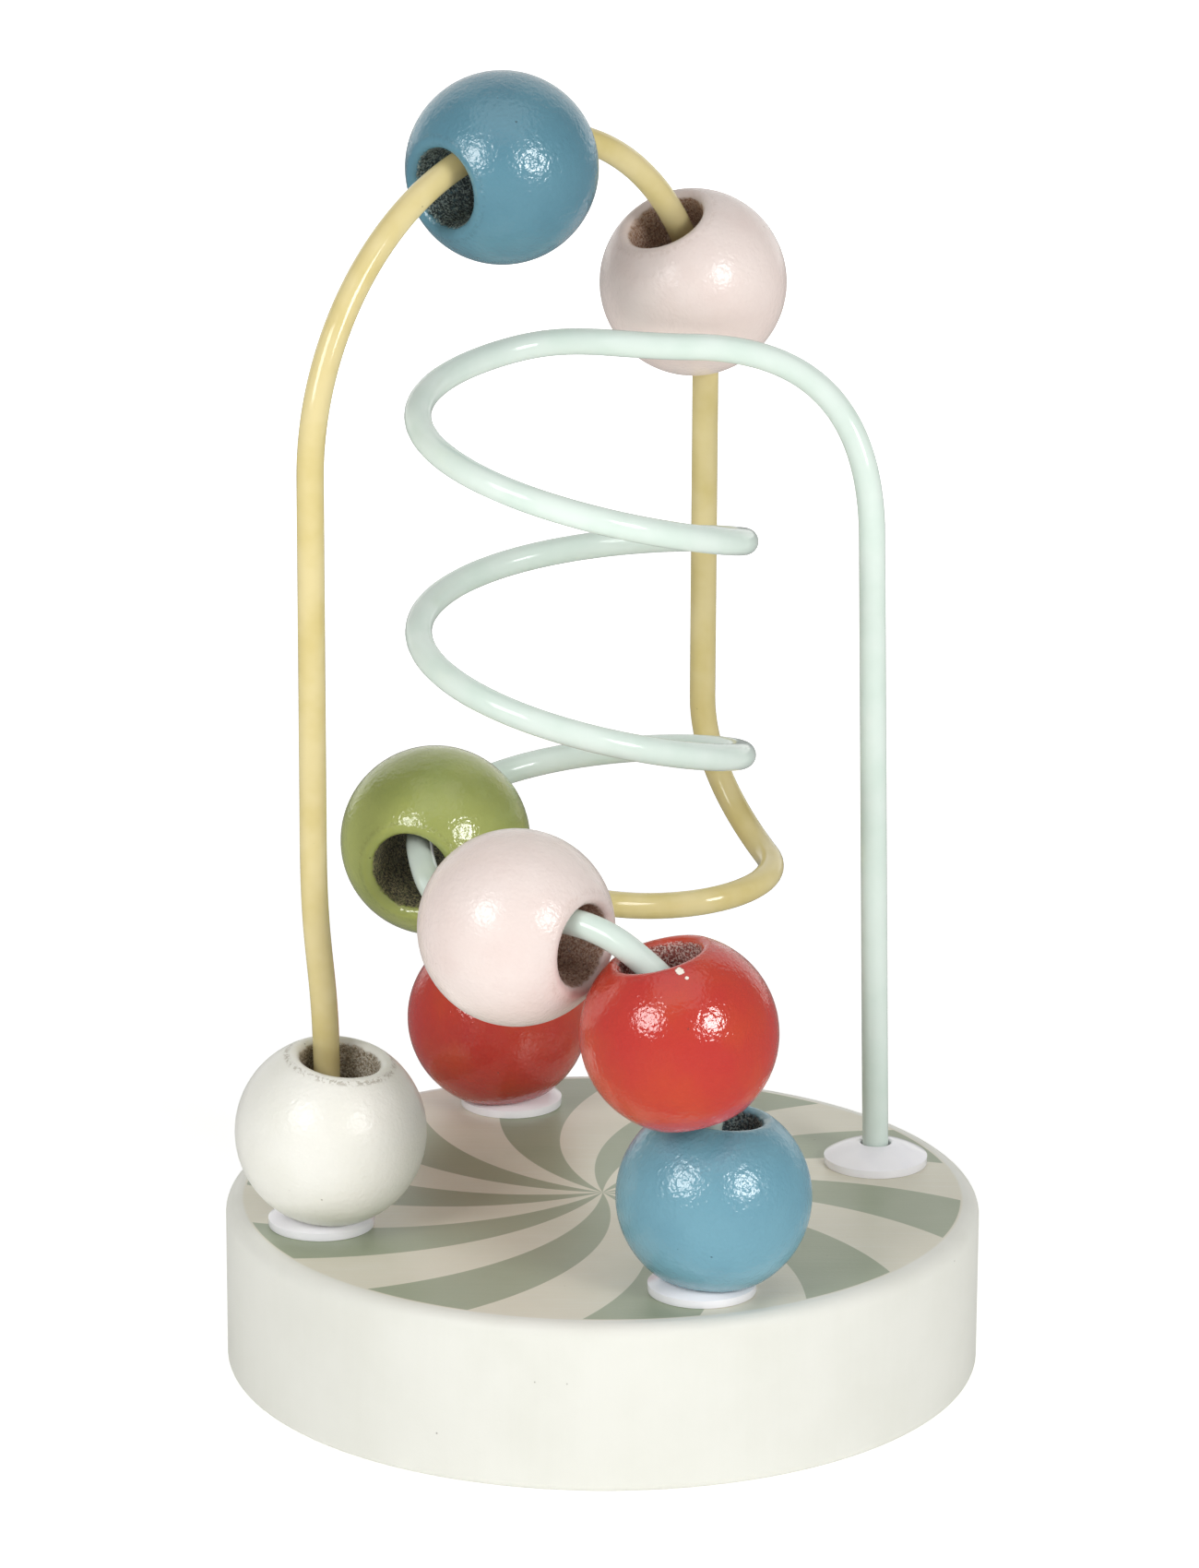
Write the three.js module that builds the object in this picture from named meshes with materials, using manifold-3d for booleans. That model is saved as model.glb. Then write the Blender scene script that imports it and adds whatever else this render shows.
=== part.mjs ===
// Spiral ball track: a wooden base, two bent wires standing in four collars, and eight wooden beads
// threaded on the wires. Millimetres, +Z up, origin at the middle of the base's underside.

import * as THREE from 'three';
import { mergeVertices } from 'three/addons/utils/BufferGeometryUtils.js';
import Module from 'manifold-3d';

const wasm = await Module();
wasm.setup();

// Clearances
const FIT_GAP = 0.3;             // between pieces that touch or slide in each other
const SEAT_GAP = 0.4;            // under the end of a wire or a spigot in its blind hole

// Base
const BASE_D = 120;
const BASE_H = 27;
const BASE_TOP_ROUND = 2.2;
const BASE_BOTTOM_ROUND = 1.4;

// Feet: four holes in the base on one circle, a quarter turn apart
const FOOT_CIRCLE_D = 93.4;
const FOOT_ANGLE = 19;           // degrees from +X to the right foot
const WIRE_SEAT_DEPTH = 19;      // how far a wire goes into the base

// Collars
const COLLAR_D = 16.7;
const COLLAR_H = 3.8;
const COLLAR_RIM_H = 1.3;
const COLLAR_LIP_ROUND = 0.4;
const SPIGOT_WALL = 1.7;
const SPIGOT_L = 14;

// Wires
const WIRE_D = 4.2;
const WIRE_SIDES = 10;
const WIRE_STEP = 5.2;           // length of one step along a wire

// Beads
const BEAD_D = 30;
const BORE_D = 12.4;
const MOUTH_ROUND = 1.3;

// Mint wire: right post, shoulder, left-handed coil and the sweep down to the front foot
const POST_H = 104;              // straight post above the base
const POST_LEAN = -2.2;          // how far the post leans towards -X by its top
const SHOULDER_X = 13.1;         // where the shoulder runs level to the left
const SHOULDER_Y = 22.2;
const SHOULDER_H = 132.9;
const SHOULDER_RISE = 22;        // handle lengths of the curves from the post to the shoulder and the coil
const SHOULDER_RUN = 17.7;
const COIL_LEAD = 12.6;
const COIL_D = 50.6;
const COIL_PITCH = 34.3;
const COIL_DIP = 1.4;            // how far the coil's right side hangs below its left side
const COIL_X = -3.7;             // coil axis
const COIL_Y = 0;
const COIL_TOP = 131.92;         // start of the coil above the base
const COIL_START = 119.4;        // degrees, the coil starts at the back
const COIL_TURNS = 2.1863;
const CREST_X = 3.7;             // where the sweep turns down
const CREST_Y = -50.6;
const CREST_H = 56.4;
const CREST_HEADING = -25.3;     // degrees, and how steeply it falls there
const CREST_FALL = 31.5;
const SWEEP_RUN = 37;            // handle lengths of the sweep before and after its crest
const CREST_RUN = 18.4;
const FRONT_RUN = 24;
const FRONT_DROP = 17.3;
const FRONT_LEG_H = 15.7;        // straight front leg above the base

// Yellow wire: left leg, arch, drop, loop and the bend down to the back foot
const KINK_OFFSET = 1;           // sideways wave in the left leg
const KINK_H = 24;
const POST_OFFSET = -0.8;
const LEFT_POST_LOW = 62;
const ARCH_LEFT_H = 120;         // where each side of the arch turns vertical, above the base
const ARCH_RIGHT_H = 126;
const ARCH_RISE = 44;
const DROP_X = 16;               // the vertical drop behind the coil
const DROP_Y = 45;
const DROP_END_H = 70;
const LOOP_D = 30;
const LOOP_X = 12;
const LOOP_Y = 27;
const LOOP_H = 47;               // start of the loop above the base
const LOOP_PITCH = 9;
const LOOP_START = 15;           // degrees, turning clockwise from here
const LOOP_TURN = 110;
const LOOP_ENTRY_DROP = 12;      // handle lengths into and out of the loop
const LOOP_ENTRY_RUN = 10;
const LOOP_EXIT_RUN = 24;
const LOOP_EXIT_DROP = 30;
const BACK_LEG_H = 18;

// Places of the beads along the wires
const ARCH_BEAD_TURN = 88;       // degrees over the arch from its left side
const SHOULDER_BEAD_TURN = 162;
const CREAM_LEAN = 10;           // degrees that a bead leans on its collar, which way, and its shift
const CREAM_LEAN_TO = -42;
const CREAM_SHIFT = 2.2;
const FRONT_LEAN = 5;
const FRONT_LEAN_TO = 20;
const FRONT_SHIFT = 1.8;
const BACK_LEAN = 4;
const BACK_LEAN_TO = 180;
const BACK_SHIFT = 2.2;
const GREEN_RUN = 50.9;          // length of wire from the lower pink bead up to the green one
const RED_TIP = new THREE.Vector3(0.155, -0.04, -0.986);     // ways that the bores tip on the mint wire
const PINK_TIP = new THREE.Vector3(0.858, -0.479, -0.19);
const GREEN_TIP = new THREE.Vector3(-0.29, -0.947, -0.14);

// Smoothness of the round pieces: sides round an axis and steps in a profile
const BASE_SIDES = 72;
const HOLE_SIDES = 24;
const COLLAR_SIDES = 20;
const BEAD_SIDES = 24;
const BALL_STEPS = 11;
const DOME_STEPS = 6;
const EDGE_STEPS = 3;
const BORE_CHECKS = 8;           // places in half a bore, and round a mouth, where its clearance is taken
const MOUTH_CHECKS = 36;
const HALVINGS = 24;             // rounds in the search for where a bead touches
const WELD = 1e-4;               // points closer than this are one

// Finishes
const PAINT_CREAM = '#e4e3d2';
const PAINT_BLUE = '#6f9db5';
const PAINT_PINK = '#f0c9c2';
const PAINT_RED = '#cf4030';
const PAINT_GREEN = '#8f9467';
const COAT_MINT = '#d5e6da';
const COAT_YELLOW = '#d8c588';
const COLLAR_WHITE = '#f1f2f3';
const BASE_WHITE = '#e9e7dc';
const SATIN = 0.45;
const GLOSS = 0.3;

const rad = THREE.MathUtils.degToRad;
const UP = new THREE.Vector3(0, 0, 1);
const DOWN = new THREE.Vector3(0, 0, -1);
const LEFT = new THREE.Vector3(-1, 0, 0);
const BEAD_R = BEAD_D / 2;
const BORE_R = BORE_D / 2;
const COLLAR_R = COLLAR_D / 2;
const COLLAR_BORE_R = WIRE_D / 2 + FIT_GAP;
const SPIGOT_R = COLLAR_BORE_R + SPIGOT_WALL;
const FOOT_HOLE_R = SPIGOT_R + FIT_GAP;
const WIRE_END = BASE_H - WIRE_SEAT_DEPTH;
const WIRE_ROOM = BORE_R - WIRE_D / 2 - FIT_GAP;

// Points along an arc in the profile plane, both ends included
function arc(centreX, centreY, radius, from, to, steps) {
  return Array.from({ length: steps + 1 }, (_, i) => {
    const angle = from + ((to - from) * i) / steps;
    return new THREE.Vector2(centreX + radius * Math.cos(angle), centreY + radius * Math.sin(angle));
  });
}

// A profile turned about +Z, whose points run up its outer side
function turned(points, segments) {
  const geometry = new THREE.LatheGeometry(points, segments);
  geometry.rotateX(Math.PI / 2);
  return geometry;
}

function solidOf(geometry) {
  const plain = geometry.clone();
  plain.deleteAttribute('normal');
  plain.deleteAttribute('uv');
  const merged = mergeVertices(plain, WELD);
  const vertProperties = new Float32Array(merged.attributes.position.array);
  const triVerts = new Uint32Array(merged.index.array);
  return new wasm.Manifold(new wasm.Mesh({ numProp: 3, vertProperties, triVerts }));
}

function geometryOf(solid) {
  const mesh = solid.getMesh();
  const geometry = new THREE.BufferGeometry();
  geometry.setAttribute('position', new THREE.BufferAttribute(mesh.vertProperties, 3));
  geometry.setIndex(new THREE.BufferAttribute(mesh.triVerts, 1));
  geometry.computeVertexNormals();
  return geometry;
}

// Feet in the order right, back, left, front
const feet = [0, 1, 2, 3].map((quarter) => {
  const angle = rad(FOOT_ANGLE + 90 * quarter);
  return new THREE.Vector2(Math.cos(angle), Math.sin(angle)).multiplyScalar(FOOT_CIRCLE_D / 2);
});
const [rightFoot, backFoot, leftFoot, frontFoot] = feet;
const above = (place, height) => new THREE.Vector3(place.x, place.y, BASE_H + height);

// Helix about a vertical axis, sinking as it turns and dipping towards +X; a negative turn runs
// clockwise seen from above
class Helix extends THREE.Curve {
  constructor(axis, radius, top, pitch, dip, start, turn) {
    super();
    Object.assign(this, { axis, radius, top, pitch, dip, start, turn });
  }

  getPoint(t, target = new THREE.Vector3()) {
    const angle = this.start + this.turn * t;
    const sunk = (this.pitch * Math.abs(this.turn) * t) / (2 * Math.PI);
    const x = this.axis.x + this.radius * Math.cos(angle);
    const y = this.axis.y + this.radius * Math.sin(angle);
    const dipped = this.dip * (Math.cos(angle) - Math.cos(this.start));
    return target.set(x, y, this.top - sunk - dipped);
  }
}

// Arch standing on two points, upright at both
class Arch extends THREE.Curve {
  constructor(from, to, rise) {
    super();
    this.centre = from.clone().add(to).multiplyScalar(0.5);
    this.across = to.clone().sub(this.centre);
    this.rise = UP.clone().multiplyScalar(rise);
  }

  getPoint(t, target = new THREE.Vector3()) {
    target.copy(this.centre);
    target.addScaledVector(this.across, -Math.cos(Math.PI * t));
    return target.addScaledVector(this.rise, Math.sin(Math.PI * t));
  }
}

// Smooth bend between two points, leaving along one direction and arriving along the other
function bend(from, leaving, to, arriving, leavingRun, arrivingRun) {
  const first = from.clone().addScaledVector(leaving, leavingRun);
  const second = to.clone().addScaledVector(arriving, -arrivingRun);
  return new THREE.CubicBezierCurve3(from, first, second, to);
}

function joined(curves) {
  const path = new THREE.CurvePath();
  curves.forEach((curve) => path.add(curve));
  return path;
}

const line = (from, to) => new THREE.LineCurve3(from, to);
const seat = (foot) => new THREE.Vector3(foot.x, foot.y, WIRE_END);

function mintPath() {
  const coilAxis = new THREE.Vector2(COIL_X, COIL_Y);
  const turn = 2 * Math.PI * COIL_TURNS;
  const top = BASE_H + COIL_TOP;
  const coil = new Helix(coilAxis, COIL_D / 2, top, COIL_PITCH, COIL_DIP, rad(COIL_START), turn);
  const postFoot = above(rightFoot, 0);
  const postTop = above(rightFoot, POST_H).add(new THREE.Vector3(POST_LEAN, 0, 0));
  const rising = postTop.clone().sub(postFoot).normalize();
  const shoulder = above(new THREE.Vector2(SHOULDER_X, SHOULDER_Y), SHOULDER_H);
  const crest = above(new THREE.Vector2(CREST_X, CREST_Y), CREST_H);
  const falling = new THREE.Vector3(Math.cos(rad(CREST_FALL)), 0, -Math.sin(rad(CREST_FALL)));
  falling.applyAxisAngle(UP, rad(CREST_HEADING));
  const legTop = above(frontFoot, FRONT_LEG_H);
  const [start, end] = [coil.getPoint(0), coil.getPoint(1)];
  return joined([
    line(seat(rightFoot), postFoot),
    line(postFoot, postTop),
    bend(postTop, rising, shoulder, LEFT, SHOULDER_RISE, SHOULDER_RUN),
    bend(shoulder, LEFT, start, coil.getTangent(0), COIL_LEAD, COIL_LEAD),
    coil,
    bend(end, coil.getTangent(1), crest, falling, SWEEP_RUN, CREST_RUN),
    bend(crest, falling, legTop, DOWN, FRONT_RUN, FRONT_DROP),
    line(legTop, seat(frontFoot)),
  ]);
}

function yellowPath() {
  const legFoot = above(leftFoot, 0);
  const kink = above(leftFoot, KINK_H).add(new THREE.Vector3(KINK_OFFSET, 0, 0));
  const postLow = above(leftFoot, LEFT_POST_LOW).add(new THREE.Vector3(POST_OFFSET, 0, 0));
  const archLeft = postLow.clone().setZ(BASE_H + ARCH_LEFT_H);
  const drop = new THREE.Vector2(DROP_X, DROP_Y);
  const archRight = above(drop, ARCH_RIGHT_H);
  const dropEnd = above(drop, DROP_END_H);
  const loopAxis = new THREE.Vector2(LOOP_X, LOOP_Y);
  const turn = -rad(LOOP_TURN);
  const loop = new Helix(loopAxis, LOOP_D / 2, BASE_H + LOOP_H, LOOP_PITCH, 0, rad(LOOP_START), turn);
  const legTop = above(backFoot, BACK_LEG_H);
  const [start, end] = [loop.getPoint(0), loop.getPoint(1)];
  return joined([
    line(seat(leftFoot), legFoot),
    bend(legFoot, UP, kink, UP, KINK_H / 2, KINK_H / 2),
    bend(kink, UP, postLow, UP, (LEFT_POST_LOW - KINK_H) / 2, (LEFT_POST_LOW - KINK_H) / 2),
    line(postLow, archLeft),
    new Arch(archLeft, archRight, ARCH_RISE),
    line(archRight, dropEnd),
    bend(dropEnd, DOWN, start, loop.getTangent(0), LOOP_ENTRY_DROP, LOOP_ENTRY_RUN),
    loop,
    bend(end, loop.getTangent(1), legTop, DOWN, LOOP_EXIT_RUN, LOOP_EXIT_DROP),
    line(legTop, seat(backFoot)),
  ]);
}

const mint = mintPath();
const yellow = yellowPath();

function baseGeometry() {
  const [lowR, highR] = [BASE_BOTTOM_ROUND, BASE_TOP_ROUND];
  const low = arc(BASE_D / 2 - lowR, lowR, lowR, -Math.PI / 2, 0, EDGE_STEPS);
  const high = arc(BASE_D / 2 - highR, BASE_H - highR, highR, 0, Math.PI / 2, EDGE_STEPS);
  const axis = [new THREE.Vector2(0, 0), new THREE.Vector2(0, BASE_H)];
  const disc = solidOf(turned([axis[0], ...low, ...high, axis[1]], BASE_SIDES));
  const depth = Math.max(WIRE_SEAT_DEPTH, SPIGOT_L) + SEAT_GAP;
  const drill = new THREE.CylinderGeometry(FOOT_HOLE_R, FOOT_HOLE_R, 2 * depth, HOLE_SIDES);
  drill.rotateX(Math.PI / 2);
  const holes = feet.map((foot) => solidOf(drill.clone().translate(foot.x, foot.y, BASE_H)));
  return geometryOf(holes.reduce((rest, hole) => rest.subtract(hole), disc));
}

// Height of the collar's dome above the base at a distance from its axis
const domeR = (COLLAR_R ** 2 + (COLLAR_H - COLLAR_RIM_H) ** 2) / (2 * (COLLAR_H - COLLAR_RIM_H));
const domeHeight = (r) => (r > COLLAR_R ? 0 : COLLAR_H - domeR + Math.sqrt(domeR ** 2 - r ** 2));

function collarGeometry() {
  const lipR = COLLAR_BORE_R + COLLAR_LIP_ROUND;
  const lipZ = domeHeight(lipR) - COLLAR_LIP_ROUND;
  const rimAngle = Math.asin(COLLAR_R / domeR);
  const lipAngle = Math.asin(lipR / domeR);
  const dome = arc(0, COLLAR_H - domeR, domeR, Math.PI / 2 - rimAngle, Math.PI / 2 - lipAngle, DOME_STEPS);
  const lip = arc(lipR, lipZ, COLLAR_LIP_ROUND, Math.PI / 2, Math.PI, EDGE_STEPS);
  const profile = [
    new THREE.Vector2(COLLAR_BORE_R, -SPIGOT_L),
    new THREE.Vector2(SPIGOT_R, -SPIGOT_L),
    new THREE.Vector2(SPIGOT_R, 0),
    new THREE.Vector2(COLLAR_R, 0),
    ...dome,
    ...lip.slice(1),
    new THREE.Vector2(COLLAR_BORE_R, -SPIGOT_L),
  ];
  return turned(profile, COLLAR_SIDES);
}

function wireGeometry(path) {
  const section = new THREE.Shape().absarc(0, 0, WIRE_D / 2, 0, 2 * Math.PI);
  const steps = Math.round(path.getLength() / WIRE_STEP);
  const curveSegments = WIRE_SIDES / 2;
  return new THREE.ExtrudeGeometry(section, { extrudePath: path, steps, curveSegments, bevelEnabled: false });
}

// The rounded mouth lies between the ball and the bore; its ring touches both
const mouthR = BORE_R + MOUTH_ROUND;
const mouthZ = Math.sqrt((BEAD_R - MOUTH_ROUND) ** 2 - mouthR ** 2);
const mouthAngle = Math.atan2(mouthZ, mouthR);
const boreHalf = mouthZ + MOUTH_ROUND;

function beadGeometry() {
  const ball = arc(0, 0, BEAD_R, -mouthAngle, mouthAngle, BALL_STEPS);
  const topMouth = arc(mouthR, mouthZ, MOUTH_ROUND, mouthAngle, Math.PI, EDGE_STEPS);
  const lowMouth = arc(mouthR, -mouthZ, MOUTH_ROUND, Math.PI, 2 * Math.PI - mouthAngle, EDGE_STEPS);
  return turned([...ball, ...topMouth.slice(1), ...lowMouth.slice(0, -1), ball[0]], BEAD_SIDES);
}

const pointAt = (path, s) => path.getPoint(s / path.getLength());

// Farthest that the wire runs from a bore's axis inside a bead
function wireReach(path, s, centre, axis) {
  let reach = 0;
  for (let step = -BORE_CHECKS; step <= BORE_CHECKS; step += 1) {
    const offset = pointAt(path, s + (boreHalf * step) / BORE_CHECKS).sub(centre);
    reach = Math.max(reach, offset.addScaledVector(axis, -offset.dot(axis)).length());
  }
  return reach;
}

// The largest value up to a limit that a test allows
function largest(limit, allows) {
  let [low, high] = [0, limit];
  for (let round = 0; round < HALVINGS; round += 1) {
    const middle = (low + high) / 2;
    if (allows(middle)) low = middle;
    else high = middle;
  }
  return low;
}

// A bead whose bore follows the wire at a length along it
function aligned(path, s) {
  const before = pointAt(path, s - boreHalf);
  const after = pointAt(path, s + boreHalf);
  const axis = after.clone().sub(before).normalize();
  const centre = before.add(after).multiplyScalar(0.5).lerp(pointAt(path, s), 0.5);
  return { s, axis, centre };
}

// A bead whose bore tips from the wire's own direction towards another one as far as it can, and which
// hangs from the wire by a share of the room that is left
function threaded(path, s, share, towards = aligned(path, s).axis) {
  const { axis, centre } = aligned(path, s);
  const hinge = axis.clone().cross(towards).normalize();
  const tipped = (angle) => axis.clone().applyAxisAngle(hinge, angle);
  const fits = (place, way) => wireReach(path, s, place, way) < WIRE_ROOM;
  const tip = tipped(largest(axis.angleTo(towards), (angle) => fits(centre, tipped(angle))));
  const fall = DOWN.clone().addScaledVector(tip, tip.z).normalize();
  const hung = (drop) => centre.clone().addScaledVector(fall, drop);
  const drop = largest(BORE_D, (amount) => fits(hung(amount), tip));
  return { s, axis: tip, centre: hung(drop * share) };
}

// The next bead up the mint wire, touching the one below it
function nextUp(below, towards) {
  const bead = (run) => threaded(mint, below.s - run, 1, towards);
  const touching = (run) => bead(run).centre.distanceTo(below.centre) < BEAD_D + FIT_GAP;
  return bead(largest(2 * BEAD_D, touching));
}

// A bead leaning on a collar: as low as the ring of its mouth can come on the collar's dome
function seated(foot, lean, leanTo, shift) {
  const way = new THREE.Vector3(Math.cos(rad(leanTo)), Math.sin(rad(leanTo)), 0);
  const turn = new THREE.Quaternion().setFromAxisAngle(UP.clone().cross(way), rad(lean));
  let height = 0;
  for (let step = 0; step < MOUTH_CHECKS; step += 1) {
    const around = (2 * Math.PI * step) / MOUTH_CHECKS;
    const ring = new THREE.Vector3(mouthR * Math.cos(around), mouthR * Math.sin(around), -mouthZ);
    ring.applyQuaternion(turn).addScaledVector(way, shift);
    const low = ring.z - MOUTH_ROUND;
    height = Math.max(height, domeHeight(Math.hypot(ring.x, ring.y)) - low);
  }
  const centre = above(foot, height + FIT_GAP).addScaledVector(way, shift);
  return { axis: UP.clone().applyQuaternion(turn), centre };
}

// Length along the yellow wire at a turn over its arch, in degrees from the left side
function overArch(turn) {
  const index = yellow.curves.findIndex((curve) => curve instanceof Arch);
  const [start, end] = yellow.getCurveLengths().slice(index - 1);
  return start + ((end - start) * turn) / 180;
}

const model = new THREE.Group();

function add(name, geometry, colour, roughness, pose) {
  const material = new THREE.MeshStandardMaterial({ color: colour, roughness, metalness: 0 });
  const mesh = new THREE.Mesh(geometry, material);
  mesh.name = name;
  if (pose) {
    mesh.position.copy(pose.centre);
    mesh.quaternion.setFromUnitVectors(UP, pose.axis);
  }
  model.add(mesh);
}

add('base', baseGeometry(), BASE_WHITE, SATIN);

const collar = collarGeometry();
['right', 'back', 'left', 'front'].forEach((side, i) => {
  add(`collar_${side}`, collar, COLLAR_WHITE, GLOSS, { centre: above(feet[i], 0), axis: UP });
});

add('mint_wire', wireGeometry(mint), COAT_MINT, GLOSS);
add('yellow_wire', wireGeometry(yellow), COAT_YELLOW, GLOSS);

const bead = beadGeometry();
const cream = seated(leftFoot, CREAM_LEAN, CREAM_LEAN_TO, CREAM_SHIFT);
const lowerBlue = seated(frontFoot, FRONT_LEAN, FRONT_LEAN_TO, FRONT_SHIFT);
lowerBlue.s = mint.getLength() - (lowerBlue.centre.z - WIRE_END);
const frontRed = nextUp(lowerBlue, RED_TIP);
const lowerPink = nextUp(frontRed, PINK_TIP);
const green = threaded(mint, lowerPink.s - GREEN_RUN, 1, GREEN_TIP);

add('cream_bead', bead, PAINT_CREAM, SATIN, cream);
add('upper_blue_bead', bead, PAINT_BLUE, GLOSS, threaded(yellow, overArch(ARCH_BEAD_TURN), 1));
add('upper_pink_bead', bead, PAINT_PINK, GLOSS, threaded(yellow, overArch(SHOULDER_BEAD_TURN), 0, UP));
add('back_red_bead', bead, PAINT_RED, GLOSS, seated(backFoot, BACK_LEAN, BACK_LEAN_TO, BACK_SHIFT));
add('lower_blue_bead', bead, PAINT_BLUE, GLOSS, lowerBlue);
add('front_red_bead', bead, PAINT_RED, GLOSS, frontRed);
add('lower_pink_bead', bead, PAINT_PINK, GLOSS, lowerPink);
add('green_bead', bead, PAINT_GREEN, GLOSS, green);

export default model;
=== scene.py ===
"""Bead maze dressed for rendering: printed wooden base, collars, coated wires and painted beads.

Metres, +Z up, origin at the middle of the base's underside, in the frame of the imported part.
"""

import logging
import math
from dataclasses import dataclass, replace
from enum import Enum
from typing import Any

import bmesh
import bpy
from mathutils import Matrix, Vector


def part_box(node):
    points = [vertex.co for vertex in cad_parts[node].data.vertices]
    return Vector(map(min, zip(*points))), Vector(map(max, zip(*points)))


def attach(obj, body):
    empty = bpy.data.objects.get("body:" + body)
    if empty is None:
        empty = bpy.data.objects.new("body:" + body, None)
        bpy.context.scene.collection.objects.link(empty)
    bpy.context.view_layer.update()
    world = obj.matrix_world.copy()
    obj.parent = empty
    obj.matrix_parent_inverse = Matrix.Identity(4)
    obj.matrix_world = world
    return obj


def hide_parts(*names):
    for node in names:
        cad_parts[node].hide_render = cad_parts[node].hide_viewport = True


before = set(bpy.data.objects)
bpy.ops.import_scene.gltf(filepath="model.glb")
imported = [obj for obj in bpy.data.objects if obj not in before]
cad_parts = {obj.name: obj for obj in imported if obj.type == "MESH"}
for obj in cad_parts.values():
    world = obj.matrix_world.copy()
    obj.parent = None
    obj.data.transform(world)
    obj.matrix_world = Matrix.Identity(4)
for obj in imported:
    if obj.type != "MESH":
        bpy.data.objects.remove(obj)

LOG = logging.getLogger("bead_maze")
MM = 0.001
UP = Vector((0.0, 0.0, 1.0))
DOWN = -UP
LEFT = Vector((-1.0, 0.0, 0.0))
STAND = "stand"
SHARP = math.radians(40)
FULL_TURN = 2 * math.pi
SEAM = 1e-6

Colour = tuple[float, float, float, float]
Stretch = tuple[float, float, float]


def linear(code: str) -> Colour:
    """Turns an sRGB hex code into a linear colour.

    Args:
        code: six hex digits after a hash.

    Returns:
        Red, green, blue and alpha, linear.
    """
    parts = [int(code[i : i + 2], 16) / 255 for i in (1, 3, 5)]
    flat = [c / 12.92 if c <= 0.04045 else ((c + 0.055) / 1.055) ** 2.4 for c in parts]
    return (flat[0], flat[1], flat[2], 1.0)


class Signal:
    """A shader socket that takes part in Python arithmetic."""

    def __init__(self, shader: "Shader", socket: bpy.types.NodeSocket) -> None:
        """Wraps a socket of a shader's tree."""
        self.shader = shader
        self.socket = socket

    def of(self, output: str | int) -> "Signal":
        """Gives another output of the same node."""
        return Signal(self.shader, self.socket.node.outputs[output])

    def _math(self, operation: str, first: Any, second: Any = 0.0) -> "Signal":
        """Adds a Math node on two values."""
        return self.shader.add("ShaderNodeMath", {"operation": operation}, {0: first, 1: second})

    def __add__(self, other: "Signal | float") -> "Signal":
        """Adds."""
        return self._math("ADD", self, other)

    __radd__ = __add__

    def __sub__(self, other: "Signal | float") -> "Signal":
        """Subtracts."""
        return self._math("SUBTRACT", self, other)

    def __rsub__(self, other: float) -> "Signal":
        """Subtracts from a number."""
        return self._math("SUBTRACT", other, self)

    def __mul__(self, other: "Signal | float") -> "Signal":
        """Multiplies."""
        return self._math("MULTIPLY", self, other)

    __rmul__ = __mul__

    def __truediv__(self, other: "Signal | float") -> "Signal":
        """Divides."""
        return self._math("DIVIDE", self, other)

    def __pow__(self, power: float) -> "Signal":
        """Raises to a power."""
        return self._math("POWER", self, power)

    def __abs__(self) -> "Signal":
        """Drops the sign."""
        return self._math("ABSOLUTE", self)

    def fract(self) -> "Signal":
        """Keeps the part after the point."""
        return self._math("FRACT", self)

    def angle(self, x: "Signal") -> "Signal":
        """Gives the angle of (x, self) in radians."""
        return self._math("ARCTAN2", self, x)

    def ramp(self, low: "Signal | float", high: "Signal | float") -> "Signal":
        """Runs smoothly from 0 at low to 1 at high."""
        limits = {"Value": self, "From Min": low, "From Max": high}
        return self.shader.add("ShaderNodeMapRange", {"interpolation_type": "SMOOTHSTEP"}, limits)


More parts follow.
